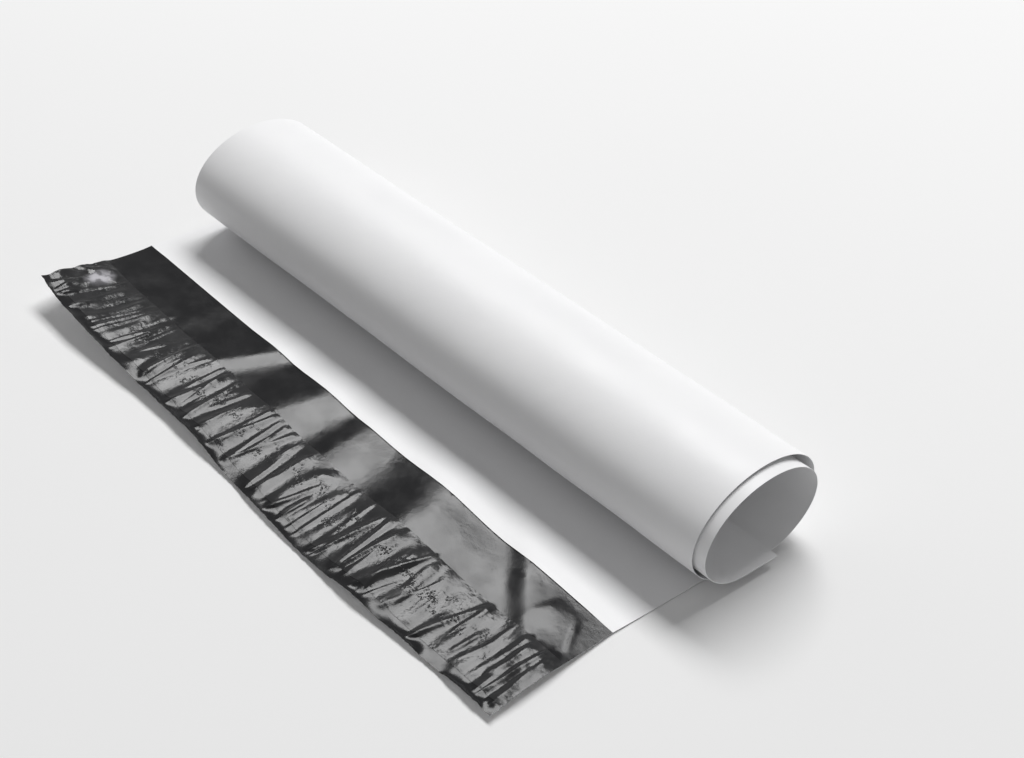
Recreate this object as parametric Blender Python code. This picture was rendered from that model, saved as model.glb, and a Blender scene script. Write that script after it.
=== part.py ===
"""A plastic mailing bag that lies open on its back and is loosely rolled up from its bottom end.

The bag is one film, white outside and black inside, folded at the bottom and welded along both sides.
Its flap lies flat and shows the black side, with a band of adhesive under a clear release liner.
Metres. +X runs along the roll, +Y from the flap to the roll, +Z up, and the bag rests on Z = 0.
"""

import bpy
import bmesh
import numpy as np

# Flat sizes of the bag
BAG_WIDTH = 0.240
BAG_LENGTH = 0.325
FLAP_LENGTH = 0.048
FILM = 0.00006
POUCH_GAP = 0.0003
SIDE_WELD = 0.004
BOTTOM_FOLD = 0.0015

# Closure on the flap, measured from the flap's outer edge
LINER_INSET = 0.0044
LINER_WIDTH = 0.0242
LINER_FILM = 0.00005
ADHESIVE_MARGIN = 0.003
ADHESIVE_THICKNESS = 0.0001
ADHESIVE_END_MARGIN = 0.004
CLEARANCE = 0.0003

# The roll, seen from its end. The skew is its angle to the flap, in radians
MOUTH_TO_ROLL = 0.0466
ROLL_WIDTH = 0.053
ROLL_HEIGHT = 0.0354
ROLL_SKEW = 0.030
TURN_GAP_BACK = 0.0035
TURN_GAP_FRONT = 0.0011
TURN_GAP_TOP = 0.0011
TURN_GAP_BOTTOM = 0.0016
FLAT_SPOT_SINK = 0.0012
FLAT_SPOT_BLEND = 0.0010

# How the flap lifts off the table. Its far end, at -X, curls up most
FAR_CORNER_LIFT = 0.0095
FAR_LIFT_REACH = 0.155
FAR_LIFT_POWER = 2.2
NEAR_CORNER_LIFT = 0.0015
NEAR_LIFT_REACH = 0.070
NEAR_LIFT_POWER = 2.5
FLAP_CURL_POWER = 1.5
EDGE_CURL = 0.0009

# How the flap's outer edge strays in its own plane
EDGE_WAVE = 0.0014
EDGE_WAVE_SPACING = 0.150
EDGE_WAVE_PEAK = -0.035
EDGE_WAVE_POWER = 2
FAR_CORNER_DRAW = 0.0035
FAR_DRAW_POWER = 4
FLAP_SLANT = 0.006
FLAP_DRAWN_IN = 0.004

# Broad ridges across the flap: crest at the mouth, slant, widths of the far and near side, height
SWELLS = (
    (-0.042, -0.50, 0.010, 0.006, 0.0008),
    (-0.014, -0.25, 0.012, 0.011, 0.0011),
    (0.009, 0.00, 0.006, 0.013, 0.0006),
    (0.047, 0.30, 0.0165, 0.016, 0.0019),
    (0.086, 1.00, 0.008, 0.030, 0.0012),
)
SWELL_FADE = 0.15

# Small gathers that the adhesive draws the film into
GATHER_HEIGHT = 0.0007
GATHER_SPACING = 0.0085
GATHER_SHARPNESS = 1.5
GATHER_SLANT = 0.04
GATHER_DRIFT = 0.9
GATHER_DRIFT_RATES = (0.23, 0.11)
GATHER_TWIST = 2.6
WEAKEST_GATHER = 0.25
GATHER_STRENGTH_RATE = 0.173

# Fineness of the meshes
FLAP_STEP = 0.0022
COLUMN_WIDTH = 0.030
FACETS_PER_TURN = 26
PATH_STEPS_PER_TURN = 360
MOUTH_BAND = 0.004
FLAP_MARGIN_STEPS = 3

QUARTER_TURN = 0.25
FULL_CIRCLE = 2 * np.pi
SHEET_LENGTH = FLAP_LENGTH + BAG_LENGTH
MOST_TURNS = SHEET_LENGTH / ROLL_HEIGHT

WHITE_FILM = ("white_film", (0.86, 0.86, 0.87), 0.42)
BLACK_FILM = ("black_film", (0.012, 0.012, 0.013), 0.20)
CLEAR_LINER = ("clear_liner", (0.055, 0.055, 0.058), 0.12)
HOT_MELT = ("hot_melt", (0.030, 0.030, 0.031), 0.30)


def roll_path():
    """The rolled part in section: its length along the film, y, z, and its unit normal into the roll.

    Each turn is an ellipse that shrinks and drifts, so that the gaps between turns come out as named.
    """
    width_loss = (TURN_GAP_BACK + TURN_GAP_FRONT) / 2
    back_drift = (TURN_GAP_FRONT - TURN_GAP_BACK) / 2
    height_loss = (TURN_GAP_TOP + TURN_GAP_BOTTOM) / 2
    up_drift = (TURN_GAP_BOTTOM - TURN_GAP_TOP) / 2
    half_width = (ROLL_WIDTH + width_loss + back_drift / 2) / 2
    half_height = (ROLL_HEIGHT + FLAT_SPOT_SINK + (height_loss - up_drift) / 2) / 2

    turn = np.arange(0, MOST_TURNS, 1 / PATH_STEPS_PER_TURN)
    angle = FULL_CIRCLE * (turn - QUARTER_TURN)
    y = back_drift * turn + (half_width - width_loss * turn) * np.cos(angle)
    z = half_height - FLAT_SPOT_SINK + up_drift * turn + (half_height - height_loss * turn) * np.sin(angle)
    floor = TURN_GAP_BOTTOM * turn
    z = floor + (z - floor + np.hypot(z - floor, FLAT_SPOT_BLEND)) / 2
    z -= z[0]

    first = y[turn <= 1]
    y += FLAP_LENGTH + MOUTH_TO_ROLL - (first.min() + first.max()) / 2
    length = y[0] + np.concatenate([[0], np.cumsum(np.hypot(np.diff(y), np.diff(z)))])
    tangent = np.stack([np.gradient(y, length), np.gradient(z, length)])
    tangent /= np.hypot(*tangent)
    return length, y, z, -tangent[1], tangent[0]


PATH = roll_path()
ROLL_START = PATH[0][0]


def flap_share(along):
    """0 at the pouch's mouth and beyond, 1 at the flap's outer edge."""
    return np.clip(1 - along / FLAP_LENGTH, 0, 1)


def end_share(x, reach, end):
    """1 at one end of the bag (end is -1 or 1), falling to 0 at the reach from it."""
    return np.clip(1 - (BAG_WIDTH / 2 - end * x) / reach, 0, 1)


def flap_lift(x, along):
    """Height of the flap's corners and of its outer edge, which curl up."""
    far = FAR_CORNER_LIFT * end_share(x, FAR_LIFT_REACH, -1) ** FAR_LIFT_POWER
    near = NEAR_CORNER_LIFT * end_share(x, NEAR_LIFT_REACH, 1) ** NEAR_LIFT_POWER
    edge = EDGE_CURL * np.clip(1 - along / LINER_INSET, 0, 1) ** 2
    return (far + near) * flap_share(along) ** FLAP_CURL_POWER + edge


def swells(x, along):
    """Height of the broad ridges, which fade out just before the pouch's mouth."""
    height = 0
    for crest, slant, far_side, near_side, tall in SWELLS:
        off = x - crest - slant * (FLAP_LENGTH - along)
        height = height + tall * np.exp(-((off / np.where(off < 0, far_side, near_side)) ** 2))
    return height * np.clip(flap_share(along) / SWELL_FADE, 0, 1)


def gathers(x, along):
    """Height of the small uneven folds that run up the flap and fade out past both sides of the liner."""
    middle = LINER_INSET + LINER_WIDTH / 2
    across_band = np.clip(1 - np.abs(along - middle) / (LINER_WIDTH / 2 + LINER_INSET), 0, 1)
    phase = FULL_CIRCLE * (x - GATHER_SLANT * (along - middle)) / GATHER_SPACING
    twist = GATHER_TWIST * (along - middle) / LINER_WIDTH
    drift = sum(np.sin(phase * rate + twist) for rate in GATHER_DRIFT_RATES)
    ridge = ((1 + np.cos(phase + GATHER_DRIFT * drift)) / 2) ** GATHER_SHARPNESS
    strength = WEAKEST_GATHER + (1 - WEAKEST_GATHER) * (1 + np.sin(phase * GATHER_STRENGTH_RATE)) / 2
    return GATHER_HEIGHT * strength * ridge * np.sqrt(across_band)


def edge_shift(x, along):
    """How far the flap's outer edge strays towards +Y: it waves a little, and its far corner is drawn in."""
    wave = EDGE_WAVE * np.cos(FULL_CIRCLE * (x - EDGE_WAVE_PEAK) / EDGE_WAVE_SPACING)
    draw = FAR_CORNER_DRAW * end_share(x, FAR_LIFT_REACH, -1) ** FAR_DRAW_POWER
    return (wave + draw) * flap_share(along) ** EDGE_WAVE_POWER


def end_shift(x, along):
    """How far the flap lies towards +X: it leans that way, and the gathers take up some of its width."""
    return (FLAP_SLANT - FLAP_DRAWN_IN * x / BAG_WIDTH) * flap_share(along)


def in_space(x, along, rise=0.0):
    """Where a point of the flat bag lies: x across, along from the flap's edge, rise above the bag's back."""
    x, along = np.broadcast_arrays(np.asarray(x, float), np.asarray(along, float))
    cos, sin = np.cos(ROLL_SKEW), np.sin(ROLL_SKEW)
    square = along * cos - x * sin
    sideways = along * sin + x * cos
    length, path_y, path_z, normal_y, normal_z = PATH
    rolled = square > ROLL_START
    lean = np.where(rolled, np.interp(square, length, normal_y), 0)
    up = np.where(rolled, np.interp(square, length, normal_z), 1)
    y = np.where(rolled, np.interp(square, length, path_y), square) + lean * rise
    z = np.where(rolled, np.interp(square, length, path_z), 0) + up * rise
    return np.stack(
        [
            sideways * cos - y * sin + end_shift(x, along),
            sideways * sin + y * cos + edge_shift(x, along),
            z + flap_lift(x, along) + swells(x, along) + gathers(x, along),
        ],
        axis=-1,
    )


def coarse_columns():
    """Positions across the bag: its two side welds, and even columns between them."""
    inner = BAG_WIDTH / 2 - SIDE_WELD
    count = max(2, round(2 * inner / COLUMN_WIDTH))
    return np.concatenate([[-BAG_WIDTH / 2], np.linspace(-inner, inner, count + 1), [BAG_WIDTH / 2]])


def fine_columns(coarse):
    """The flap's columns, and the place of each coarse column among them."""
    fine, places = [coarse[0]], [0]
    for left, right in zip(coarse[:-1], coarse[1:]):
        count = max(1, round((right - left) / FLAP_STEP))
        fine.extend(np.linspace(left, right, count + 1)[1:])
        places.append(len(fine) - 1)
    return np.array(fine), places


def closure_rows():
    """Rows along the flap on which the liner's and the adhesive's edges fall."""
    liner_end = LINER_INSET + LINER_WIDTH
    adhesive = (LINER_INSET + ADHESIVE_MARGIN, liner_end - ADHESIVE_MARGIN)
    return LINER_INSET, adhesive[0], sum(adhesive) / 2, adhesive[1], liner_end


def flap_rows():
    margin = np.linspace(closure_rows()[-1], FLAP_LENGTH, FLAP_MARGIN_STEPS + 1)
    return np.array([0, LINER_INSET / 2, *closure_rows(), *margin[1:]])


def pouch_rows():
    """Rows along the pouch: few where it is flat, a facet apart in the roll, close at the bottom fold."""
    turn = np.interp(1, np.arange(len(PATH[0])) / PATH_STEPS_PER_TURN, PATH[0]) - ROLL_START
    first = ROLL_START - BAG_WIDTH / 2 * np.sin(ROLL_SKEW)
    last = SHEET_LENGTH - BOTTOM_FOLD
    count = round((last - first) / (turn / FACETS_PER_TURN))
    rolled = np.linspace(first, last, count + 1)
    return np.concatenate([[FLAP_LENGTH, FLAP_LENGTH + MOUTH_BAND], rolled, [SHEET_LENGTH]])


class Sheet:
    """A mesh made of points of the flat bag. Every surface in it splits its quads along the same diagonal."""

    def __init__(self):
        self.mesh = bmesh.new()

    def grid(self, columns, rows, rise):
        points = in_space(columns[None, :], rows[:, None], rise)
        return [[self.mesh.verts.new(p) for p in row] for row in points]

    def triangle(self, a, b, c, turned):
        """Adds a face, or removes the one there already: two faces back to back enclose nothing."""
        if len({a, b, c}) < 3:
            return
        there = self.mesh.faces.get((a, b, c))
        if there:
            self.mesh.faces.remove(there)
        else:
            self.mesh.faces.new((c, b, a) if turned else (a, b, c))

    def quad(self, a, b, c, d, turned=False):
        self.triangle(a, b, c, turned)
        self.triangle(a, c, d, turned)

    def surface(self, grid, turned=False):
        """The faces of a grid, seen from above unless turned."""
        for low, high in zip(grid[:-1], grid[1:]):
            for i in range(len(low) - 1):
                self.quad(low[i], low[i + 1], high[i + 1], high[i], turned)

    def strip(self, bottom, top, turned=False):
        """A wall between two lines of points."""
        for i in range(len(bottom) - 1):
            self.quad(bottom[i], bottom[i + 1], top[i + 1], top[i], turned)

    def fan(self, low, high, turned=False):
        """Faces between a line of many points and the two points of the next line."""
        for left, right in zip(low[:-1], low[1:]):
            self.triangle(left, right, high[0], turned)
        self.triangle(low[-1], high[1], high[0], turned)

    def plate(self, columns, rows, rise, thickness):
        """A thin closed piece that follows the flap."""
        bottom = self.grid(columns, rows, rise)
        top = self.grid(columns, rows, rise + thickness)
        self.surface(bottom, turned=True)
        self.surface(top)
        self.strip(bottom[0], top[0])
        self.strip(bottom[-1], top[-1], turned=True)
        self.strip([row[0] for row in bottom], [row[0] for row in top], turned=True)
        self.strip([row[-1] for row in bottom], [row[-1] for row in top])

    def as_object(self, name, materials, material_of=None):
        """The finished object. material_of gives each face its place in the list of materials."""
        data = bpy.data.meshes.new(name)
        for face in self.mesh.faces:
            face.material_index = material_of.get(face, 0) if material_of else 0
            face.smooth = True
        self.mesh.to_mesh(data)
        self.mesh.free()
        for colour in materials:
            data.materials.append(plastic(*colour))
        made = bpy.data.objects.new(name, data)
        bpy.context.scene.collection.objects.link(made)
        return made


def plastic(name, colour, roughness):
    material = bpy.data.materials.new(name)
    material.use_nodes = True
    shader = material.node_tree.nodes["Principled BSDF"]
    shader.inputs["Base Color"].default_value = (*colour, 1)
    shader.inputs["Roughness"].default_value = roughness
    shader.inputs["Metallic"].default_value = 0
    return material


def film_bag():
    """The bag itself: the flap, one film thick, runs on as the pouch's back, and the front lies on it.

    Four levels of the pouch, from its back upwards: back (outside), lining, ceiling, front (outside).
    The lining and the ceiling are the black inner faces, and they meet at the side welds and the fold.
    """
    sheet = Sheet()
    coarse = coarse_columns()
    fine, places = fine_columns(coarse)
    inner = coarse[1:-1]
    rows = pouch_rows()
    cavity = rows[:-1]

    gap = np.zeros((len(rows), len(coarse)))
    gap[:-2, 2:-2] = POUCH_GAP
    flap_back = sheet.grid(fine, flap_rows(), 0)
    flap_face = sheet.grid(fine, flap_rows(), FILM)
    back = [[flap_back[-1][place] for place in places]] + sheet.grid(coarse, rows[1:], 0)
    lining = [[flap_face[-1][place] for place in places[1:-1]]] + sheet.grid(inner, cavity[1:], FILM)
    front = sheet.grid(coarse, rows, 2 * FILM + gap)
    ceiling = sheet.grid(inner, cavity, FILM + gap[:-1, 1:-1])
    for row, floor in zip(ceiling, lining):
        for i in (0, -1):
            sheet.mesh.verts.remove(row[i])
            row[i] = floor[i]
    for i in range(1, len(inner) - 1):
        sheet.mesh.verts.remove(ceiling[-1][i])
        ceiling[-1][i] = lining[-1][i]

    sheet.surface(flap_face)
    sheet.strip(flap_back[0], flap_face[0])
    sheet.surface(lining[1:])
    mouth_spans = list(zip(places[:-1], places[1:]))
    for i, (left, right) in enumerate(mouth_spans[1:-1]):
        sheet.fan(flap_face[-1][left : right + 1], lining[1][i : i + 2])
    sheet.surface(ceiling, turned=True)
    black = {face: 1 for face in sheet.mesh.faces}

    sheet.surface(flap_back, turned=True)
    sheet.surface(back[1:], turned=True)
    for i, (left, right) in enumerate(mouth_spans):
        sheet.fan(flap_back[-1][left : right + 1], back[1][i : i + 2], turned=True)
    sheet.surface(front)
    sheet.strip(ceiling[0], front[0][1:-1])
    for (left, right), tops in ((mouth_spans[0], front[0][:2]), (mouth_spans[-1], front[0][-2:])):
        sheet.fan(flap_face[-1][left : right + 1], tops)
    sheet.strip(back[-1], front[-1], turned=True)
    lip = flap_face[-1]
    for side, turned in ((0, True), (-1, False)):
        sheet.strip([row[side] for row in flap_back], [row[side] for row in flap_face], turned)
        sheet.strip([row[side] for row in back[1:]], [row[side] for row in front[1:]], turned)
        sheet.fan([back[0][side], lip[side], front[0][side]], [back[1][side], front[1][side]], not turned)
    return sheet.as_object("film_bag", (WHITE_FILM, BLACK_FILM), black)


def closure_columns(margin):
    """The flap's own columns that lie at least a margin in from both side edges."""
    fine, _ = fine_columns(coarse_columns())
    return fine[np.abs(fine) <= BAG_WIDTH / 2 - margin + FILM]


def adhesive_strip():
    sheet = Sheet()
    rows = np.array(closure_rows()[1:-1])
    sheet.plate(closure_columns(ADHESIVE_END_MARGIN), rows, FILM + CLEARANCE, ADHESIVE_THICKNESS)
    return sheet.as_object("adhesive_strip", (HOT_MELT,))


def release_liner():
    sheet = Sheet()
    rise = FILM + CLEARANCE + ADHESIVE_THICKNESS + CLEARANCE
    sheet.plate(closure_columns(0), np.array(closure_rows()), rise, LINER_FILM)
    return sheet.as_object("release_liner", (CLEAR_LINER,))


def centre_on_ground(objects):
    """Moves all the pieces together so that the origin is at the bottom centre of what they fill."""
    points = np.array([vertex.co for made in objects for vertex in made.data.vertices])
    low, high = points.min(axis=0), points.max(axis=0)
    for made in objects:
        for vertex in made.data.vertices:
            vertex.co.x -= (low[0] + high[0]) / 2
            vertex.co.y -= (low[1] + high[1]) / 2
            vertex.co.z -= low[2]


def main():
    for old in list(bpy.data.objects):
        bpy.data.objects.remove(old)
    centre_on_ground([film_bag(), adhesive_strip(), release_liner()])


main()
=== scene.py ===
"""The looks of a poly mailer bag that lies open on its back, half rolled up: its film, adhesive and liner.

Metres, in the frame's own axes: +X along the roll, +Y from the flap to the roll, +Z up.
A point of the flat bag is given by x, across the bag, and along, measured from the flap's outer edge.
"""

import math

import bmesh
import bpy
import numpy as np
from mathutils import Matrix, Vector


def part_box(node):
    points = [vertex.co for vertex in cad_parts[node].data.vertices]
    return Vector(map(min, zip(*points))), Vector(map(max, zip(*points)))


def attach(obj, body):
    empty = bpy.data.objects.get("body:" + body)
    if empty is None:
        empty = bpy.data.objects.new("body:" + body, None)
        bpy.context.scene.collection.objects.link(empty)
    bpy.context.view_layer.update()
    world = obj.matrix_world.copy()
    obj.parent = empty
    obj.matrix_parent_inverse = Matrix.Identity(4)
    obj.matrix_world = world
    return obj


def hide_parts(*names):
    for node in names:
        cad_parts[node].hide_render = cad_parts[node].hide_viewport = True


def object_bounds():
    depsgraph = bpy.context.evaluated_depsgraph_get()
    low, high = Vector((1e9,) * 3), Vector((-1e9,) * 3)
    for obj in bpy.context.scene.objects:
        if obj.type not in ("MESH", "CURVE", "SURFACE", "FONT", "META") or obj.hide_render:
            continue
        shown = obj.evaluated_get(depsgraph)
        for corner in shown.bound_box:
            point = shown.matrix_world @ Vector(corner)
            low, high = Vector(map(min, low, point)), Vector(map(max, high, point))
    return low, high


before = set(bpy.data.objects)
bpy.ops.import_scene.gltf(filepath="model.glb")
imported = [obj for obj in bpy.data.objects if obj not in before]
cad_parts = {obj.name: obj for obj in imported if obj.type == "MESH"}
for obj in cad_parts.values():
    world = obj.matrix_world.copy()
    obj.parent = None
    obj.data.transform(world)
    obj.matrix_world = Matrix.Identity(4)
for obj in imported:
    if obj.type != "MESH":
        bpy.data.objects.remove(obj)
CAD_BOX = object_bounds()
LINER_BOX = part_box("release_liner")
FULL_CIRCLE = 2 * math.pi

# Sizes of the bag, as in the frame, but with the real gaps round the adhesive and in the pouch
BAG_WIDTH = LINER_BOX[1].x - LINER_BOX[0].x
FLAP_LENGTH = 0.048
BAG_LENGTH = 0.325
SHEET_LENGTH = FLAP_LENGTH + BAG_LENGTH
FILM = 0.00006
POUCH_GAP = 0.0001
SIDE_WELD = 0.004
BOTTOM_FOLD = 0.0015
LINER_INSET = 0.0044
LINER_WIDTH = 0.0242
LINER_FILM = 0.00005
ADHESIVE_MARGIN = 0.003
ADHESIVE_THICKNESS = 0.00006
ADHESIVE_END_MARGIN = 0.004
FILM_TO_ADHESIVE = 0.00003
ADHESIVE_TO_LINER = 0.00003

# The roll in section, as in the frame
MOUTH_TO_ROLL = 0.0466
ROLL_WIDTH = 0.053
ROLL_HEIGHT = 0.0354
ROLL_SKEW = 0.030
TURN_GAP_BACK = 0.0035
TURN_GAP_FRONT = 0.0011
TURN_GAP_TOP = 0.0011
TURN_GAP_BOTTOM = 0.0016
FLAT_SPOT_SINK = 0.0012
FLAT_SPOT_BLEND = 0.0010
MOST_TURNS = SHEET_LENGTH / ROLL_HEIGHT
PATH_STEPS_PER_TURN = 720

# The flap's broad shape and its gathers, as in the frame
FAR_CORNER_LIFT = 0.0095
FAR_LIFT_REACH = 0.155
FAR_LIFT_POWER = 2.2
NEAR_CORNER_LIFT = 0.0015
NEAR_LIFT_REACH = 0.070
NEAR_LIFT_POWER = 2.5
FLAP_CURL_POWER = 1.5
EDGE_CURL = 0.0009
EDGE_WAVE = 0.0014
EDGE_WAVE_SPACING = 0.150
EDGE_WAVE_PEAK = -0.035
EDGE_WAVE_POWER = 2
FAR_CORNER_DRAW = 0.0035
FAR_DRAW_POWER = 4
FLAP_SLANT = 0.006
FLAP_DRAWN_IN = 0.004
# The ridges: each one's crest at the mouth, slant, half-widths on its far and near sides, and height
SWELLS = (
    (-0.042, -0.50, 0.010, 0.006, 0.0008),
    (-0.014, -0.25, 0.012, 0.011, 0.0011),
    (0.009, 0.00, 0.006, 0.013, 0.0006),
    (0.047, 0.30, 0.0165, 0.016, 0.0019),
    (0.086, 1.00, 0.008, 0.030, 0.0012),
)
GATHER_HEIGHT = 0.0007
GATHER_SPACING = 0.0085
GATHER_SHARPNESS = 1.5
GATHER_SLANT = 0.04
GATHER_DRIFT = 0.9
GATHER_DRIFT_RATES = (0.23, 0.11)
GATHER_TWIST = 2.6
WEAKEST_GATHER = 0.25
GATHER_STRENGTH_RATE = 0.173

# Finer folds, which only the scene has. A band is where folds start, are full, fade and end
EDGE_CURL_SPACING = 0.012
EDGE_CURL_RANGE = (-0.4, 0.3)
EDGE_CURL_POWER = 2
LEAST_EDGE_CURL = 0.1
SWELL_FADE = (0.001, 0.018)
GATHER_BAND = (0.0, 0.006, 0.0240, 0.0292)
GATHER_END_STRAY = 0.003
GATHER_PATCHINESS = 0.55
GATHER_PATCH_SIZE = (0.009, 0.011)
GATHER_PATCH_START = 4
FOLD_SPACING = 0.0032
FOLD_HEIGHTS = (0.00012, 0.00050)
FOLD_HALF_WIDTHS = (0.0005, 0.0014)
FOLD_HALF_LENGTHS = (0.005, 0.020)
FOLD_SLANTS = (-0.15, 0.25)
FOLD_TAPERS = (-0.9, 0.9)
FOLD_WIDTH_LIMITS = (0.35, 2)
FOLD_STRAY = (-0.4, 1.4)
FOLD_MIDDLES = (0.05, 0.75)
FOLD_END_POWER = 4
FOLD_BAND = (0.0005, 0.004, 0.0262, 0.0292)
# The creases: each one's crest at its start, slant, start, end, half-widths as above, and height
CREASES = (
    (-0.1150, 0.25, 0.005, 0.013, 0.0012, 0.0030, 0.0007),
    (-0.1020, 0.05, 0.006, 0.022, 0.0020, 0.0016, 0.00028),
    (-0.0975, 0.12, 0.013, 0.026, 0.0022, 0.0013, 0.00022),
    (-0.0875, 0.02, 0.007, 0.026, 0.0024, 0.0019, 0.00032),
    (-0.0810, 0.05, 0.015, 0.027, 0.0020, 0.0012, 0.00020),
    (-0.0660, 0.04, 0.007, 0.026, 0.0024, 0.0022, 0.00036),
    (-0.0600, 0.02, 0.007, 0.026, 0.0018, 0.0020, 0.00032),
    (0.1085, 0.10, 0.012, 0.0235, 0.0012, 0.0016, 0.0004),
    (0.1140, 0.05, 0.018, 0.0235, 0.0010, 0.0014, 0.0003),
    (0.1010, 0.30, 0.037, 0.040, 0.0020, 0.0070, 0.0002),
    (0.1150, -0.60, 0.036, 0.039, 0.0008, 0.0010, 0.0002),
    (0.1172, -0.03, 0.006, 0.0250, 0.0010, 0.0012, 0.0004),
)
CREASE_END = 0.006
UNDULATION = 0.0003
UNDULATION_SIZE = 0.014
UNDULATION_START = 9
UNDULATION_FADE = (0.0, 0.25)
CALM_END = 0.85
CALM_END_REACH = (0.38, 0.45)
CRUMPLE = 0.0007
CRUMPLE_SIZE = 0.0035
NEAR_CRUMPLE = 0.35
NEAR_CRUMPLE_REACH = (0.40, 0.49)
NEAR_CRUMPLE_FADE = (0.026, 0.035)
FAR_CRUMPLE = 1.7
FAR_CRUMPLE_REACH = (-0.49, -0.43)
FAR_CRUMPLE_RISE = (0.002, 0.008)
FAR_CRUMPLE_FADE = (0.024, 0.032)
RAGGED_EDGE = 0.0003
RAGGED_SIZE = 0.0013
RAGGED_REACH = 3 * RAGGED_EDGE
LIP_OPENING = 0.00012
LIP_REACH = 0.004
LIP_WAVES = (0.75, 0.5)
LIP_WAVE_SIZE = 0.03
WELD_BLEND = 0.006
FOLD_BLEND = 0.004
ROLL_UNEVENNESS = 0.00025
ROLL_UNEVENNESS_SIZE = 0.045
ROLL_UNEVENNESS_RISE = (0.01, 0.03)

# Noise: its table's side, where a line of it runs, how each octave differs from the last, and the seeds
NOISE_SIDE = 64
NOISE_LINE = 0.5
OCTAVE_FINENESS = 2.1
OCTAVE_WEIGHT = 0.5
CURL_SEED = 81
STRAY_SEED = 61
PATCH_SEED = 71
FOLD_SEED = 11
UNDULATION_SEED = 5
CRUMPLE_SEED = 21
RAGGED_SEED = 51
ROLL_SEED = 31
LIP_SEED = 41

# Bubbles in the adhesive
BUBBLE_SIZE = 0.0008
BUBBLE_JITTER = 0.0011
BUBBLE_JITTER_SIZE = 0.001
BUBBLE_DOME = (0.05, 0.6)
BUBBLE_BAND = (0.002, 0.0075)
BUBBLE_ENDS = (0.100, 0.112)
BUBBLE_CLUSTERS = (0.48, 0.66)
BUBBLE_CLUSTER_SCALE = 260
BUBBLE_CLUSTER_DETAIL = 3

# The crumpled place at the liner's far end, where a pale painted highlight is mixed into the liner's colour
PAINTED_HIGHLIGHT_MIDDLE = (-0.1115, 0.0200)
PAINTED_HIGHLIGHT_HALF_SIZE = (0.0050, 0.0075)
PAINTED_HIGHLIGHT_EDGE = (0.3, 1.0)
PAINTED_HIGHLIGHT_SCALE = 300
PAINTED_HIGHLIGHT_DETAIL = 4
PAINTED_HIGHLIGHT_SPREAD = (0.36, 0.56)
LEAST_PAINTED_HIGHLIGHT = 0.35
# The painted highlight's pale lavender colour
PAINTED_HIGHLIGHT_COLOUR = (0.50, 0.49, 0.52)

# The materials. Scales are in bumps a metre, and the bumps' heights in metres
NOISE_SPREAD = (0.3, 0.7)
WHITE_COLOURS = ((0.84, 0.84, 0.85), (0.88, 0.88, 0.885))
WHITE_ROUGHNESS = (0.38, 0.50)
WHITE_SPECULAR = 0.3
WHITE_SCALE = 30
WHITE_WAVE_SCALE = 90
WHITE_WAVES = 0.00012
WHITE_GRAIN_SCALE = 1800
WHITE_GRAIN_DETAIL = 3
WHITE_GRAIN = 0.000012
BLACK_COLOUR = (0.011, 0.011, 0.012)
BLACK_ROUGHNESS = (0.13, 0.22)
BLACK_SPECULAR = 0.23
BLACK_SCALE = 120
BLACK_WAVE_SCALE = 260
BLACK_WAVES = 0.00005
BLACK_GRAIN_SCALE = 2600
BLACK_GRAIN = 0.00001
DUST_COLOUR = (0.45, 0.45, 0.45)
DUST_SPACING = 0.011
DUST_RADIUS = 0.00016
LINER_COLOURS = ((0.018, 0.018, 0.019), (0.032, 0.032, 0.033))
LINER_ROUGHNESS = (0.12, 0.22)
LINER_SPECULAR = 0.25
LINER_SCALE = 150
LINER_WAVE_SCALE = 420
LINER_WAVE_DETAIL = 3
LINER_WAVES = 0.00012
LINER_BUBBLES = 0.00013
HOT_MELT_COLOURS = ((0.022, 0.022, 0.023), (0.038, 0.038, 0.038))
HOT_MELT_ROUGHNESS = (0.22, 0.34)
HOT_MELT_SCALE = 200
HOT_MELT_BUBBLES = 0.0002
FLOOR_COLOURS = ((0.84, 0.84, 0.84), (0.87, 0.87, 0.87))
FLOOR_ROUGHNESS = 0.9
FLOOR_SPECULAR = 0.1
FLOOR_SCALE = 3

# Fineness of the meshes
FLAP_STEP = 0.0004
FLAP_ROW_STEP = 0.0011
FLAP_EDGE_STEP = 0.0006
COLUMN_WIDTH = 0.006
ROLL_ROW_STEP = 0.0013
SHARP_ANGLE = math.radians(50)
BOX_COLUMNS = 241
BOX_ROWS = 1500

# The camera, placed from the middle of the flap's outer edge
CAMERA_PLACE = (0.36995, -0.21488, 0.35676)
CAMERA_HEADING = math.radians(138.43)
CAMERA_PITCH = math.radians(36.95)
CAMERA_ROLL = math.radians(2.93)
CAMERA_LENS_MM = 64.9
CAMERA_SENSOR_MM = 36
CAMERA_CLIP = (0.01, 100)

# The light. An area lamp needs four watts on each square metre for one unit of radiance
KEY_DIRECTION = (-0.30, 0.475, 0.83)
KEY_DISTANCE = 3.0
KEY_LENGTH = 2.36
KEY_WIDTH = 0.95
KEY_RADIANCE = 9.4
WATTS_PER_RADIANCE = 4
SKY_TOP = 0.26
SKY_LOW = 0.38
SKY_BLEND_TOP = 0.5
FLOOR_DROP = 0.0002
FLOOR_RADIUS = 12.0
FLOOR_SIDES = 96


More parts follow.
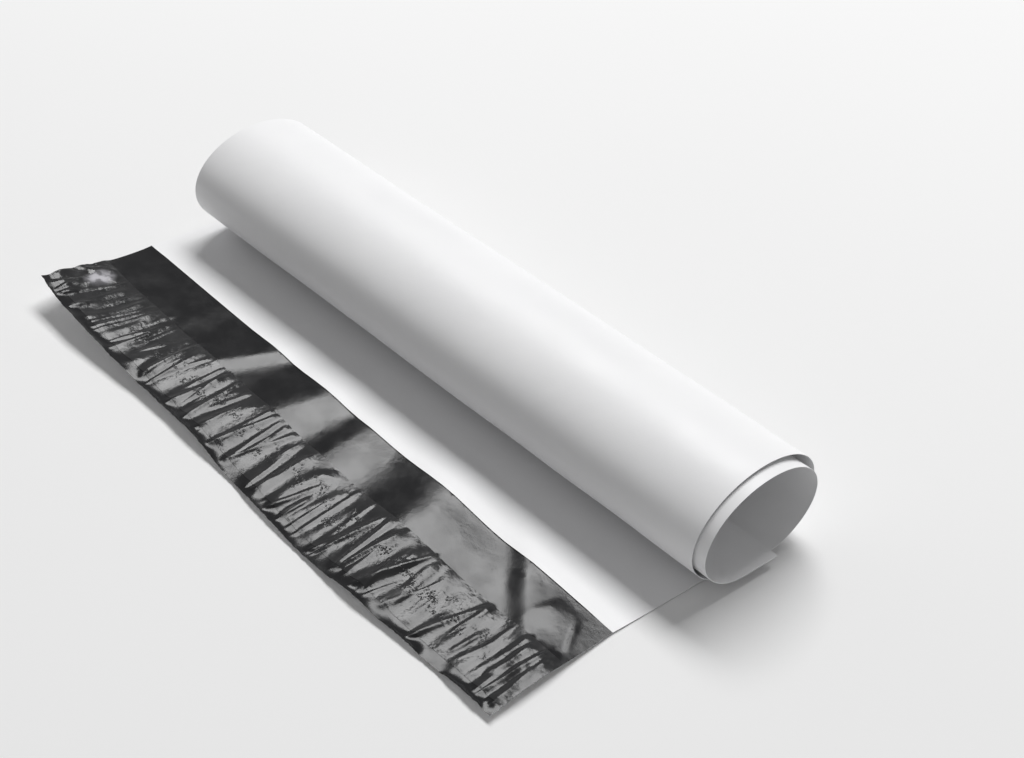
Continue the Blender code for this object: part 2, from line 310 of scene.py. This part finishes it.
def smooth_noise(u, v, seed, octaves=1):
    """Smooth noise from -1 to 1, one bump for each unit of u and v."""
    total = np.zeros(np.broadcast(u, v).shape)
    size, weight, most = 1.0, 1.0, 0.0
    for octave in range(octaves):
        rng = np.random.default_rng(seed + octave)
        table = rng.uniform(-1, 1, (NOISE_SIDE, NOISE_SIDE))
        a, b = np.asarray(u) * size, np.asarray(v) * size
        i, j = np.floor(a).astype(int), np.floor(b).astype(int)
        s, t = a - i, b - j
        s, t = s * s * (3 - 2 * s), t * t * (3 - 2 * t)
        i, j, next_i, next_j = (place % NOISE_SIDE for place in (i, j, i + 1, j + 1))
        low = table[i, j] * (1 - s) + table[next_i, j] * s
        high = table[i, next_j] * (1 - s) + table[next_i, next_j] * s
        total += weight * (low * (1 - t) + high * t)
        most += weight
        size, weight = size * OCTAVE_FINENESS, weight * OCTAVE_WEIGHT
    return total / most


def line_noise(u, seed, octaves=1):
    """Smooth noise along a line."""
    return smooth_noise(u, NOISE_LINE, seed, octaves)


def as_share(value):
    """Turns -1 to 1 into 0 to 1."""
    return (1 + value) / 2


def ease(value, start, end):
    """0 before start, 1 after end, and smooth between them."""
    t = np.clip((value - start) / (end - start), 0, 1)
    return t * t * (3 - 2 * t)


def roll_path():
    """The roll in section: length along the film, y, z, and the unit normal that points into the roll."""
    width_loss = (TURN_GAP_BACK + TURN_GAP_FRONT) / 2
    back_drift = (TURN_GAP_FRONT - TURN_GAP_BACK) / 2
    height_loss = (TURN_GAP_TOP + TURN_GAP_BOTTOM) / 2
    up_drift = (TURN_GAP_BOTTOM - TURN_GAP_TOP) / 2
    half_width = (ROLL_WIDTH + width_loss + back_drift / 2) / 2
    half_height = (ROLL_HEIGHT + FLAT_SPOT_SINK + (height_loss - up_drift) / 2) / 2

    turn = np.arange(0, MOST_TURNS, 1 / PATH_STEPS_PER_TURN)
    angle = FULL_CIRCLE * (turn - 1 / 4)
    y = back_drift * turn + (half_width - width_loss * turn) * np.cos(angle)
    z = half_height - FLAT_SPOT_SINK + up_drift * turn + (half_height - height_loss * turn) * np.sin(angle)
    floor = TURN_GAP_BOTTOM * turn
    z = floor + (z - floor + np.hypot(z - floor, FLAT_SPOT_BLEND)) / 2
    z -= z[0]

    first = y[turn <= 1]
    y += FLAP_LENGTH + MOUTH_TO_ROLL - (first.min() + first.max()) / 2
    length = y[0] + np.concatenate([[0], np.cumsum(np.hypot(np.diff(y), np.diff(z)))])
    tangent = np.stack([np.gradient(y, length), np.gradient(z, length)])
    tangent /= np.hypot(*tangent)
    return length, y, z, -tangent[1], tangent[0]


PATH = roll_path()
ROLL_START = PATH[0][0]


def flap_share(along):
    """0 at the pouch's mouth and beyond, 1 at the flap's outer edge."""
    return np.clip(1 - along / FLAP_LENGTH, 0, 1)


def end_share(x, reach, end):
    """1 at one end of the bag (end is -1 or 1), falling to 0 at the reach from it."""
    return np.clip(1 - (BAG_WIDTH / 2 - end * x) / reach, 0, 1)


def across(x, shares):
    """0 to 1 between two places across the bag, which are given as shares of its width."""
    start, end = shares
    return ease(x, BAG_WIDTH * start, BAG_WIDTH * end)


def flap_lift(x, along):
    """Height of the flap's corners and of its outer edge, which curl up."""
    far = FAR_CORNER_LIFT * end_share(x, FAR_LIFT_REACH, -1) ** FAR_LIFT_POWER
    near = NEAR_CORNER_LIFT * end_share(x, NEAR_LIFT_REACH, 1) ** NEAR_LIFT_POWER
    share = ease(line_noise(x / EDGE_CURL_SPACING, CURL_SEED), *EDGE_CURL_RANGE)
    curl = EDGE_CURL * (LEAST_EDGE_CURL + (1 - LEAST_EDGE_CURL) * share)
    edge = curl * np.clip(1 - along / LINER_INSET, 0, 1) ** EDGE_CURL_POWER
    return (far + near) * flap_share(along) ** FLAP_CURL_POWER + edge


def swells(x, along):
    """Height of the broad ridges. They run on a little way under the pouch's mouth, unlike the frame's."""
    height = 0
    for crest, slant, far_side, near_side, tall in SWELLS:
        off = x - crest - slant * (FLAP_LENGTH - along)
        height = height + tall * np.exp(-((off / np.where(off < 0, far_side, near_side)) ** 2))
    return height * (1 - ease(along - FLAP_LENGTH, *SWELL_FADE))


def gathers(x, along):
    """Height of the small uneven folds that run across the liner."""
    middle = LINER_INSET + LINER_WIDTH / 2
    start, full, fading, end = GATHER_BAND
    stray = GATHER_END_STRAY * as_share(line_noise(x / GATHER_SPACING, STRAY_SEED))
    band = ease(along, start, full) * (1 - ease(along + stray, fading, end))
    phase = FULL_CIRCLE * (x - GATHER_SLANT * (along - middle)) / GATHER_SPACING
    twist = GATHER_TWIST * (along - middle) / LINER_WIDTH
    drift = sum(np.sin(phase * rate + twist) for rate in GATHER_DRIFT_RATES)
    ridge = as_share(np.cos(phase + GATHER_DRIFT * drift)) ** GATHER_SHARPNESS
    strength = WEAKEST_GATHER + (1 - WEAKEST_GATHER) * as_share(np.sin(phase * GATHER_STRENGTH_RATE))
    width, length = GATHER_PATCH_SIZE
    patches = as_share(smooth_noise(x / width + GATHER_PATCH_START, along / length, PATCH_SEED))
    patchy = 1 - GATHER_PATCHINESS * patches
    return GATHER_HEIGHT * strength * patchy * ridge * band


def fine_folds(x, along):
    """Sharper folds of many lengths that the shrinking adhesive draws across the liner."""
    rng = np.random.default_rng(FOLD_SEED)
    count = round(BAG_WIDTH / FOLD_SPACING)
    height = np.zeros(np.broadcast(x, along).shape)
    for i in range(count):
        centre = -BAG_WIDTH / 2 + (i + rng.uniform(*FOLD_STRAY)) * FOLD_SPACING
        tall = rng.uniform(*FOLD_HEIGHTS)
        left, right = rng.uniform(*FOLD_HALF_WIDTHS, 2)
        reach = rng.uniform(*FOLD_HALF_LENGTHS)
        middle = LINER_INSET + rng.uniform(*FOLD_MIDDLES) * LINER_WIDTH
        slant = rng.uniform(*FOLD_SLANTS)
        taper = rng.uniform(*FOLD_TAPERS)
        off = x - centre - slant * (along - middle)
        side = np.where(off < 0, left, right)
        side = side * np.clip(1 + taper * (along - middle) / reach, *FOLD_WIDTH_LIMITS)
        end = np.exp(-(((along - middle) / reach) ** FOLD_END_POWER))
        height += tall * np.exp(-((off / side) ** 2)) * end
    start, full, fading, end = FOLD_BAND
    return height * ease(along, start, full) * (1 - ease(along, fading, end))


def creases(x, along):
    """The few single creases, on the liner's far half and at the flap's two ends."""
    height = 0
    for crest, slant, start, end, far_side, near_side, tall in CREASES:
        off = x - crest - slant * (along - start)
        side = np.where(off < 0, far_side, near_side)
        reach = ease(along, start - CREASE_END, start) * (1 - ease(along, end, end + CREASE_END))
        height = height + tall * np.exp(-((off / side) ** 2)) * reach
    return height


def undulation(x, along):
    """Slow swells of the flap, and the crumpled places at both its ends."""
    on_flap = ease(flap_share(along), *UNDULATION_FADE)
    u, v = x / UNDULATION_SIZE + UNDULATION_START, along / UNDULATION_SIZE
    slow = as_share(smooth_noise(u, v, UNDULATION_SEED))
    slow = slow * (1 - CALM_END * across(x, CALM_END_REACH))
    near = NEAR_CRUMPLE * across(x, NEAR_CRUMPLE_REACH) * (1 - ease(along, *NEAR_CRUMPLE_FADE))
    far = FAR_CRUMPLE * (1 - across(x, FAR_CRUMPLE_REACH)) * ease(along, *FAR_CRUMPLE_RISE)
    far = far * (1 - ease(along, *FAR_CRUMPLE_FADE))
    crumple = as_share(smooth_noise(x / CRUMPLE_SIZE, along / CRUMPLE_SIZE, CRUMPLE_SEED, octaves=2))
    return on_flap * (UNDULATION * slow + CRUMPLE * crumple * (near + far))


def edge_shift(x, along):
    """How far the flap's outer edge strays towards +Y: it waves a little, and its far corner is drawn in."""
    wave = EDGE_WAVE * np.cos(FULL_CIRCLE * (x - EDGE_WAVE_PEAK) / EDGE_WAVE_SPACING)
    draw = FAR_CORNER_DRAW * end_share(x, FAR_LIFT_REACH, -1) ** FAR_DRAW_POWER
    return (wave + draw) * flap_share(along) ** EDGE_WAVE_POWER


def end_shift(x, along):
    """How far the flap lies towards +X: it leans that way, and the gathers take up some of its width."""
    return (FLAP_SLANT - FLAP_DRAWN_IN * x / BAG_WIDTH) * flap_share(along)


def raggedness(x, along):
    """The cut edge's own small nicks, in the plane of the flap."""
    nicks = line_noise(x / RAGGED_SIZE, RAGGED_SEED, octaves=2)
    return RAGGED_EDGE * nicks * (1 - ease(along, 0, RAGGED_REACH))


def unevenness(x, along):
    """The roll's own slight dents, square to its surface."""
    size = ROLL_UNEVENNESS_SIZE
    dents = smooth_noise(x / size, along / size, ROLL_SEED, octaves=2)
    start, end = ROLL_UNEVENNESS_RISE
    return ROLL_UNEVENNESS * dents * ease(along, ROLL_START + start, ROLL_START + end)


def in_space(x, along, rise=0.0):
    """Where a point of the flat bag lies, rise above the bag's back. The origin is the flap's outer edge."""
    x, along = np.broadcast_arrays(np.asarray(x, float), np.asarray(along, float))
    cos, sin = math.cos(ROLL_SKEW), math.sin(ROLL_SKEW)
    square = along * cos - x * sin
    sideways = along * sin + x * cos
    length, path_y, path_z, normal_y, normal_z = PATH
    rolled = square > ROLL_START
    rise = rise + np.where(rolled, unevenness(x, along), 0)
    lean = np.where(rolled, np.interp(square, length, normal_y), 0)
    up = np.where(rolled, np.interp(square, length, normal_z), 1)
    y = np.where(rolled, np.interp(square, length, path_y), square) + lean * rise
    z = np.where(rolled, np.interp(square, length, path_z), 0) + up * rise
    lift = flap_lift(x, along) + swells(x, along) + gathers(x, along)
    lift += fine_folds(x, along) + creases(x, along) + undulation(x, along)
    return np.stack(
        [
            sideways * cos - y * sin + end_shift(x, along),
            sideways * sin + y * cos + edge_shift(x, along) + raggedness(x, along),
            z + lift,
        ],
        axis=-1,
    )


def frame_shift():
    """From the flap's outer edge to the frame's origin, found from the broad shape's own box."""
    columns = np.linspace(-BAG_WIDTH / 2, BAG_WIDTH / 2, BOX_COLUMNS)
    x, along = np.meshgrid(columns, np.linspace(0, SHEET_LENGTH, BOX_ROWS))
    points = in_space(x, along).reshape(-1, 3)
    low, high = points.min(axis=0), points.max(axis=0)
    cad_low, cad_high = CAD_BOX
    return Vector(
        (
            (cad_low.x + cad_high.x - low[0] - high[0]) / 2,
            (cad_low.y + cad_high.y - low[1] - high[1]) / 2,
            0,
        )
    )


SHIFT = frame_shift()


def spaced(start, end, step):
    return np.linspace(start, end, max(1, round((end - start) / step)) + 1)


def coarse_columns():
    """Positions across the pouch: its two side welds, and even columns between them."""
    inner = BAG_WIDTH / 2 - SIDE_WELD
    return np.concatenate([[-BAG_WIDTH / 2], spaced(-inner, inner, COLUMN_WIDTH), [BAG_WIDTH / 2]])


def fine_columns(coarse):
    """The flap's columns, and the place of each coarse column among them."""
    fine, places = [coarse[0]], [0]
    for left, right in zip(coarse[:-1], coarse[1:]):
        fine.extend(spaced(left, right, FLAP_STEP)[1:])
        places.append(len(fine) - 1)
    return np.array(fine), places


def liner_rows():
    """Rows of the liner, which the adhesive and the flap share, so that they lie parallel."""
    return spaced(LINER_INSET, LINER_INSET + LINER_WIDTH, FLAP_ROW_STEP)


def flap_rows():
    liner = liner_rows()
    margins = spaced(0, liner[0], FLAP_EDGE_STEP)[:-1], spaced(liner[-1], FLAP_LENGTH, FLAP_ROW_STEP)[1:]
    return np.concatenate([margins[0], liner, margins[1]])


def pouch_rows():
    last = SHEET_LENGTH - BOTTOM_FOLD
    return np.concatenate([spaced(FLAP_LENGTH, last, ROLL_ROW_STEP), [SHEET_LENGTH]])


def pouch_gap(x, along):
    """How far the front stands off the back: nothing at the welds and the fold, most at the open mouth."""
    inside = ease(BAG_WIDTH / 2 - SIDE_WELD - np.abs(x), 0, WELD_BLEND)
    lip = 1 - ease(along - FLAP_LENGTH, 0, LIP_REACH)
    middle, swing = LIP_WAVES
    waves = middle + swing * line_noise(x / LIP_WAVE_SIZE, LIP_SEED)
    end = ease(SHEET_LENGTH - BOTTOM_FOLD - along, 0, FOLD_BLEND)
    return inside * end * (POUCH_GAP + LIP_OPENING * lip * waves)


class Sheet:
    """A mesh made of points of the flat bag, each of which keeps its flat place as its UV."""

    def __init__(self):
        self.mesh = bmesh.new()
        self.flat = self.mesh.verts.layers.float_vector.new("flat_place")

    def grid(self, columns, rows, rise):
        x, along = np.broadcast_arrays(columns[None, :], rows[:, None])
        points = in_space(x, along, rise) + np.array(SHIFT)
        made = []
        for i, row in enumerate(points):
            line = []
            for j, point in enumerate(row):
                vertex = self.mesh.verts.new(point)
                vertex[self.flat] = (x[i, j], along[i, j], 0)
                line.append(vertex)
            made.append(line)
        return made

    def triangle(self, a, b, c, turned):
        """Adds a face, or takes away the one already there: two faces back to back enclose nothing."""
        if len({a, b, c}) < 3:
            return
        there = self.mesh.faces.get((a, b, c))
        if there:
            self.mesh.faces.remove(there)
        else:
            self.mesh.faces.new((c, b, a) if turned else (a, b, c))

    def quad(self, a, b, c, d, turned=False):
        self.triangle(a, b, c, turned)
        self.triangle(a, c, d, turned)

    def surface(self, grid, turned=False):
        """The faces of a grid, seen from above unless turned."""
        for low, high in zip(grid[:-1], grid[1:]):
            for i in range(len(low) - 1):
                self.quad(low[i], low[i + 1], high[i + 1], high[i], turned)

    def strip(self, bottom, top, turned=False):
        """A wall between two lines of points."""
        for i in range(len(bottom) - 1):
            self.quad(bottom[i], bottom[i + 1], top[i + 1], top[i], turned)

    def fan(self, low, high, turned=False):
        """Faces between a line of many points and the two points of the next line."""
        for left, right in zip(low[:-1], low[1:]):
            self.triangle(left, right, high[0], turned)
        self.triangle(low[-1], high[1], high[0], turned)

    def plate(self, columns, rows, rise, thickness):
        """A thin closed piece that follows the flap."""
        bottom = self.grid(columns, rows, rise)
        top = self.grid(columns, rows, rise + thickness)
        self.surface(bottom, turned=True)
        self.surface(top)
        self.strip(bottom[0], top[0])
        self.strip(bottom[-1], top[-1], turned=True)
        self.strip([row[0] for row in bottom], [row[0] for row in top], turned=True)
        self.strip([row[-1] for row in bottom], [row[-1] for row in top])

    def as_object(self, name, materials, material_of=None):
        """The finished object. material_of gives each face its place in the list of materials."""
        uv = self.mesh.loops.layers.uv.new("flat")
        for face in self.mesh.faces:
            face.material_index = material_of.get(face, 0) if material_of else 0
            face.smooth = True
            for loop in face.loops:
                loop[uv].uv = loop.vert[self.flat][:2]
        data = bpy.data.meshes.new(name)
        self.mesh.to_mesh(data)
        self.mesh.free()
        data.set_sharp_from_angle(angle=SHARP_ANGLE)
        for made in materials:
            data.materials.append(made)
        made = bpy.data.objects.new(name, data)
        bpy.context.scene.collection.objects.link(made)
        return made


def shader_nodes(name):
    """A new material's node tree and its Principled BSDF."""
    material = bpy.data.materials.new(name)
    material.use_nodes = True
    return material, material.node_tree, material.node_tree.nodes["Principled BSDF"]


def noise(tree, source, scale, detail=2.0):
    made = tree.nodes.new("ShaderNodeTexNoise")
    made.inputs["Scale"].default_value = scale
    made.inputs["Detail"].default_value = detail
    tree.links.new(source, made.inputs["Vector"])
    return made.outputs["Fac"]


def flat_place(tree):
    """The point's place on the flat bag, in metres."""
    made = tree.nodes.new("ShaderNodeUVMap")
    made.uv_map = "flat"
    return made.outputs["UV"]


def map_range(tree, value, low, high, to_low, to_high):
    made = tree.nodes.new("ShaderNodeMapRange")
    made.interpolation_type = "SMOOTHSTEP"
    numbers = {"From Min": low, "From Max": high, "To Min": to_low, "To Max": to_high}
    for socket, number in numbers.items():
        made.inputs[socket].default_value = number
    tree.links.new(value, made.inputs["Value"])
    return made.outputs["Result"]


def bump(tree, height, distance, below=None):
    made = tree.nodes.new("ShaderNodeBump")
    made.inputs["Distance"].default_value = distance
    made.inputs["Strength"].default_value = 1
    tree.links.new(height, made.inputs["Height"])
    if below:
        tree.links.new(below, made.inputs["Normal"])
    return made.outputs["Normal"]


def math_node(tree, operation, a, b):
    made = tree.nodes.new("ShaderNodeMath")
    made.operation = operation
    for socket, value in zip(made.inputs, (a, b)):
        if isinstance(value, (int, float)):
            socket.default_value = value
        else:
            tree.links.new(value, socket)
    return made.outputs["Value"]


def two_colours(tree, factor, low, high):
    """From low to high, each of which is a colour or another node's output."""
    made = tree.nodes.new("ShaderNodeMix")
    made.data_type = "RGBA"
    for socket, colour in (("A", low), ("B", high)):
        if isinstance(colour, tuple):
            made.inputs[socket].default_value = (*colour, 1)
        else:
            tree.links.new(colour, made.inputs[socket])
    tree.links.new(factor, made.inputs["Factor"])
    return made.outputs["Result"]


def white_film():
    material, tree, shader = shader_nodes("white_film")
    place = flat_place(tree)
    broad = noise(tree, place, WHITE_SCALE)
    tree.links.new(two_colours(tree, broad, *WHITE_COLOURS), shader.inputs["Base Color"])
    tree.links.new(map_range(tree, broad, *NOISE_SPREAD, *WHITE_ROUGHNESS), shader.inputs["Roughness"])
    shader.inputs["Specular IOR Level"].default_value = WHITE_SPECULAR
    waves = bump(tree, noise(tree, place, WHITE_WAVE_SCALE), WHITE_WAVES)
    grain = noise(tree, place, WHITE_GRAIN_SCALE, WHITE_GRAIN_DETAIL)
    tree.links.new(bump(tree, grain, WHITE_GRAIN, below=waves), shader.inputs["Normal"])
    return material


def dust(tree, place, cell, radius):
    """1 on sparse small specks, 0 elsewhere."""
    made = tree.nodes.new("ShaderNodeTexVoronoi")
    made.inputs["Scale"].default_value = 1 / cell
    tree.links.new(place, made.inputs["Vector"])
    return math_node(tree, "LESS_THAN", made.outputs["Distance"], radius / cell)


def black_film():
    material, tree, shader = shader_nodes("black_film")
    place = flat_place(tree)
    specks = dust(tree, place, DUST_SPACING, DUST_RADIUS)
    tree.links.new(two_colours(tree, specks, BLACK_COLOUR, DUST_COLOUR), shader.inputs["Base Color"])
    broad = noise(tree, place, BLACK_SCALE)
    tree.links.new(map_range(tree, broad, *NOISE_SPREAD, *BLACK_ROUGHNESS), shader.inputs["Roughness"])
    shader.inputs["Specular IOR Level"].default_value = BLACK_SPECULAR
    waves = bump(tree, noise(tree, place, BLACK_WAVE_SCALE), BLACK_WAVES)
    grain = noise(tree, place, BLACK_GRAIN_SCALE)
    tree.links.new(bump(tree, grain, BLACK_GRAIN, below=waves), shader.inputs["Normal"])
    return material


def jittered(tree, place):
    """The place, shifted a little here and there, so that the bubbles aren't round."""
    made = tree.nodes.new("ShaderNodeTexNoise")
    made.inputs["Scale"].default_value = 1 / BUBBLE_JITTER_SIZE
    tree.links.new(place, made.inputs["Vector"])
    shift = tree.nodes.new("ShaderNodeVectorMath")
    shift.operation = "MULTIPLY_ADD"
    tree.links.new(made.outputs["Color"], shift.inputs[0])
    shift.inputs[1].default_value = (BUBBLE_JITTER,) * 3
    tree.links.new(place, shift.inputs[2])
    return shift.outputs["Vector"]


def bubbles(tree, place):
    """Height of the small bubbles in the adhesive: none outside its band, and clustered within it."""
    split = tree.nodes.new("ShaderNodeSeparateXYZ")
    tree.links.new(place, split.inputs["Vector"])
    middle = LINER_INSET + LINER_WIDTH / 2
    away = math_node(tree, "ABSOLUTE", math_node(tree, "SUBTRACT", split.outputs["Y"], middle), 0)
    band = map_range(tree, away, *BUBBLE_BAND, 1, 0)
    cells = tree.nodes.new("ShaderNodeTexVoronoi")
    cells.inputs["Scale"].default_value = 1 / BUBBLE_SIZE
    tree.links.new(jittered(tree, place), cells.inputs["Vector"])
    domes = map_range(tree, cells.outputs["Distance"], *BUBBLE_DOME, 1, 0)
    patches = noise(tree, place, BUBBLE_CLUSTER_SCALE, BUBBLE_CLUSTER_DETAIL)
    clusters = map_range(tree, patches, *BUBBLE_CLUSTERS, 0, 1)
    ends = map_range(tree, math_node(tree, "ABSOLUTE", split.outputs["X"], 0), *BUBBLE_ENDS, 1, 0)
    shares = math_node(tree, "MULTIPLY", clusters, math_node(tree, "MULTIPLY", band, ends))
    return math_node(tree, "MULTIPLY", domes, shares)


def painted_highlight(tree, place):
    """How strong the painted highlight is: something at the crumpled place at the liner's far end, else 0.
    """
    off = place
    for operation, vector in (
        ("SUBTRACT", (*PAINTED_HIGHLIGHT_MIDDLE, 0)),
        ("DIVIDE", (*PAINTED_HIGHLIGHT_HALF_SIZE, 1)),
    ):
        made = tree.nodes.new("ShaderNodeVectorMath")
        made.operation = operation
        tree.links.new(off, made.inputs[0])
        made.inputs[1].default_value = vector
        off = made.outputs["Vector"]
    away = tree.nodes.new("ShaderNodeVectorMath")
    away.operation = "LENGTH"
    tree.links.new(off, away.inputs[0])
    patch = map_range(tree, away.outputs["Value"], *PAINTED_HIGHLIGHT_EDGE, 1, 0)
    creases = noise(tree, place, PAINTED_HIGHLIGHT_SCALE, PAINTED_HIGHLIGHT_DETAIL)
    # Noise breaks the painted highlight into patches
    highlight_breakup = map_range(tree, creases, *PAINTED_HIGHLIGHT_SPREAD, LEAST_PAINTED_HIGHLIGHT, 1)
    return math_node(tree, "MULTIPLY", patch, highlight_breakup)


def clear_liner():
    material, tree, shader = shader_nodes("clear_liner")
    place = flat_place(tree)
    broad = noise(tree, place, LINER_SCALE)
    clear = two_colours(tree, broad, *LINER_COLOURS)
    # A pale painted highlight is mixed into the liner's colour at the crumpled far end
    colour = two_colours(tree, painted_highlight(tree, place), clear, PAINTED_HIGHLIGHT_COLOUR)
    tree.links.new(colour, shader.inputs["Base Color"])
    tree.links.new(map_range(tree, broad, *NOISE_SPREAD, *LINER_ROUGHNESS), shader.inputs["Roughness"])
    shader.inputs["Specular IOR Level"].default_value = LINER_SPECULAR
    waves = bump(tree, noise(tree, place, LINER_WAVE_SCALE, LINER_WAVE_DETAIL), LINER_WAVES)
    bubbled = bump(tree, bubbles(tree, place), LINER_BUBBLES, below=waves)
    tree.links.new(bubbled, shader.inputs["Normal"])
    return material


def hot_melt():
    material, tree, shader = shader_nodes("hot_melt")
    place = flat_place(tree)
    broad = noise(tree, place, HOT_MELT_SCALE)
    tree.links.new(two_colours(tree, broad, *HOT_MELT_COLOURS), shader.inputs["Base Color"])
    tree.links.new(map_range(tree, broad, *NOISE_SPREAD, *HOT_MELT_ROUGHNESS), shader.inputs["Roughness"])
    tree.links.new(bump(tree, bubbles(tree, place), HOT_MELT_BUBBLES), shader.inputs["Normal"])
    return material


def bag_film():
    """The bag in one piece: the flap runs on as the pouch's back, and the front lies on it, open at one end.

    Four levels of the pouch, from its back upwards: back (outside), lining, ceiling, front (outside).
    """
    sheet = Sheet()
    coarse = coarse_columns()
    fine, places = fine_columns(coarse)
    inner = coarse[1:-1]
    rows = pouch_rows()
    cavity = rows[:-1]

    gap = pouch_gap(coarse[None, :], rows[:, None])
    flap_back = sheet.grid(fine, flap_rows(), 0)
    flap_face = sheet.grid(fine, flap_rows(), FILM)
    back = [[flap_back[-1][place] for place in places]] + sheet.grid(coarse, rows[1:], 0)
    lining = [[flap_face[-1][place] for place in places[1:-1]]] + sheet.grid(inner, cavity[1:], FILM)
    front = sheet.grid(coarse, rows, 2 * FILM + gap)
    ceiling = sheet.grid(inner, cavity, FILM + gap[:-1, 1:-1])
    for row, floor in zip(ceiling, lining):
        for i in (0, -1):
            sheet.mesh.verts.remove(row[i])
            row[i] = floor[i]
    for i in range(1, len(inner) - 1):
        sheet.mesh.verts.remove(ceiling[-1][i])
        ceiling[-1][i] = lining[-1][i]

    sheet.surface(flap_face)
    sheet.strip(flap_back[0], flap_face[0])
    sheet.surface(lining[1:])
    mouth_spans = list(zip(places[:-1], places[1:]))
    for i, (left, right) in enumerate(mouth_spans[1:-1]):
        sheet.fan(flap_face[-1][left : right + 1], lining[1][i : i + 2])
    sheet.surface(ceiling, turned=True)
    sheet.strip(ceiling[0], front[0][1:-1])
    black = {face: 1 for face in sheet.mesh.faces}

    sheet.surface(flap_back, turned=True)
    sheet.surface(back[1:], turned=True)
    for i, (left, right) in enumerate(mouth_spans):
        sheet.fan(flap_back[-1][left : right + 1], back[1][i : i + 2], turned=True)
    sheet.surface(front)
    for (left, right), tops in ((mouth_spans[0], front[0][:2]), (mouth_spans[-1], front[0][-2:])):
        sheet.fan(flap_face[-1][left : right + 1], tops)
    sheet.strip(back[-1], front[-1], turned=True)
    lip = flap_face[-1]
    for side, turned in ((0, True), (-1, False)):
        sheet.strip([row[side] for row in flap_back], [row[side] for row in flap_face], turned)
        sheet.strip([row[side] for row in back[1:]], [row[side] for row in front[1:]], turned)
        sheet.fan([back[0][side], lip[side], front[0][side]], [back[1][side], front[1][side]], not turned)
    return sheet.as_object("bag_film", (white_film(), black_film()), black)


def adhesive_band():
    sheet = Sheet()
    fine, _ = fine_columns(coarse_columns())
    columns = fine[np.abs(fine) <= BAG_WIDTH / 2 - ADHESIVE_END_MARGIN + FILM]
    rows = liner_rows()
    rows = rows[(rows >= rows[0] + ADHESIVE_MARGIN - FILM) & (rows <= rows[-1] - ADHESIVE_MARGIN + FILM)]
    sheet.plate(columns, rows, FILM + FILM_TO_ADHESIVE, ADHESIVE_THICKNESS)
    return sheet.as_object("adhesive_band", (hot_melt(),))


def liner():
    sheet = Sheet()
    fine, _ = fine_columns(coarse_columns())
    rows = liner_rows()
    inside = ease(np.minimum(rows - rows[0], rows[-1] - rows), 0, ADHESIVE_MARGIN - FLAP_ROW_STEP)
    rise = FILM + FILM_TO_ADHESIVE + inside * (ADHESIVE_THICKNESS + ADHESIVE_TO_LINER)
    sheet.plate(fine, rows, rise[:, None], LINER_FILM)
    return sheet.as_object("liner_film", (clear_liner(),))


def add_pieces():
    for piece, node, slot in (
        (bag_film(), "film_bag", "white_film"),
        (adhesive_band(), "adhesive_strip", "hot_melt"),
        (liner(), "release_liner", "clear_liner"),
    ):
        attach(piece, "root")
        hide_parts(node)


def add_floor():
    mesh = bmesh.new()
    bmesh.ops.create_circle(mesh, cap_ends=True, segments=FLOOR_SIDES, radius=FLOOR_RADIUS)
    data = bpy.data.meshes.new("floor")
    mesh.to_mesh(data)
    mesh.free()
    floor = bpy.data.objects.new("floor", data)
    floor.location.z = -FLOOR_DROP
    bpy.context.scene.collection.objects.link(floor)
    material, tree, shader = shader_nodes("pale_floor")
    place = tree.nodes.new("ShaderNodeTexCoord").outputs["Object"]
    shade = noise(tree, place, FLOOR_SCALE)
    tree.links.new(two_colours(tree, shade, *FLOOR_COLOURS), shader.inputs["Base Color"])
    shader.inputs["Roughness"].default_value = FLOOR_ROUGHNESS
    shader.inputs["Specular IOR Level"].default_value = FLOOR_SPECULAR
    data.materials.append(material)


def add_sky():
    """A plain world, pale near the horizon and dimmer overhead."""
    world = bpy.data.worlds.new("studio")
    world.use_nodes = True
    bpy.context.scene.world = world
    tree = world.node_tree
    place = tree.nodes.new("ShaderNodeTexCoord").outputs["Generated"]
    split = tree.nodes.new("ShaderNodeSeparateXYZ")
    tree.links.new(place, split.inputs["Vector"])
    shade = map_range(tree, split.outputs["Z"], 0.0, SKY_BLEND_TOP, SKY_LOW, SKY_TOP)
    tree.links.new(shade, tree.nodes["Background"].inputs["Color"])


def add_key_light():
    """A long soft box behind the roll, with its length along the roll."""
    direction = Vector(KEY_DIRECTION).normalized()
    lengthwise = (Vector((1, 0, 0)) - direction * direction.x).normalized()
    light = bpy.data.lights.new("key", "AREA")
    light.shape = "RECTANGLE"
    light.size = KEY_LENGTH
    light.size_y = KEY_WIDTH
    light.energy = KEY_RADIANCE * WATTS_PER_RADIANCE * KEY_LENGTH * KEY_WIDTH
    made = bpy.data.objects.new("key", light)
    axes = Matrix((lengthwise, direction.cross(lengthwise), direction)).transposed()
    made.matrix_world = Matrix.Translation(direction * KEY_DISTANCE) @ axes.to_4x4()
    bpy.context.scene.collection.objects.link(made)


def add_camera():
    data = bpy.data.cameras.new("camera")
    data.sensor_width = CAMERA_SENSOR_MM
    data.lens = CAMERA_LENS_MM
    data.clip_start, data.clip_end = CAMERA_CLIP
    camera = bpy.data.objects.new("camera", data)
    turn = (
        Matrix.Rotation(CAMERA_HEADING - math.pi / 2, 4, "Z")
        @ Matrix.Rotation(math.pi / 2 - CAMERA_PITCH, 4, "X")
        @ Matrix.Rotation(CAMERA_ROLL, 4, "Z")
    )
    camera.matrix_world = Matrix.Translation(Vector(CAMERA_PLACE) + SHIFT) @ turn
    bpy.context.scene.collection.objects.link(camera)
    bpy.context.scene.camera = camera


bpy.context.scene.view_settings.view_transform = "Standard"
add_camera()
add_pieces()
add_floor()
add_sky()
add_key_light()
